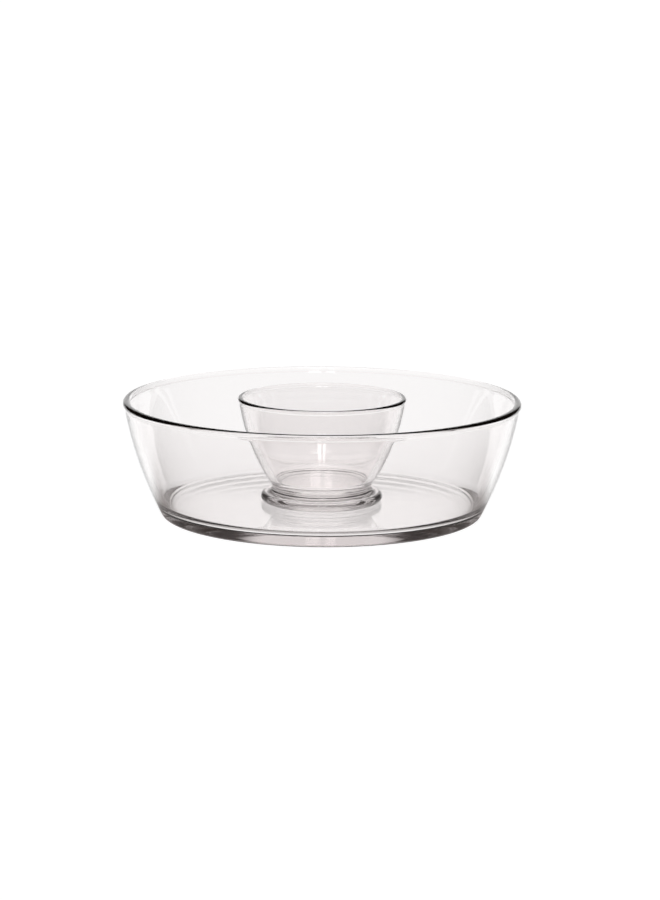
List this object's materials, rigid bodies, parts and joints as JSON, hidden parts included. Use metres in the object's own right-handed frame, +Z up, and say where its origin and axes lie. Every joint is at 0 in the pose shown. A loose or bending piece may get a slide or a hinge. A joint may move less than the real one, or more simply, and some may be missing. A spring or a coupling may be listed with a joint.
{
  "type": "chip and dip server",
  "caption": "Wide clear glass bowl for chips, with a small footed glass bowl for dip that stands loose in the middle and lifts out.",
  "frame": {"origin": "centre of the flat land under the chip bowl, on the table", "axes": "+Z up along the common axis of both bowls; X and Y are interchangeable, because both bowls are round"},
  "size_m": [0.3, 0.3, 0.0895],
  "materials": {
    "chip_bowl_glass": "clear pressed soda-lime glass, fire-polished",
    "dip_bowl_glass": "clear pressed soda-lime glass, fire-polished"
  },
  "bodies": {
    "chip_bowl": {"chip_bowl": "chip_bowl_glass"},
    "dip_bowl": {"dip_bowl": "dip_bowl_glass"}
  },
  "joints": [
    {"name": "dip_bowl_lift", "type": "slide", "parent": "chip_bowl", "child": "dip_bowl", "axis": [0, 0, 1], "range_m": [0, 0.12]}
  ]
}
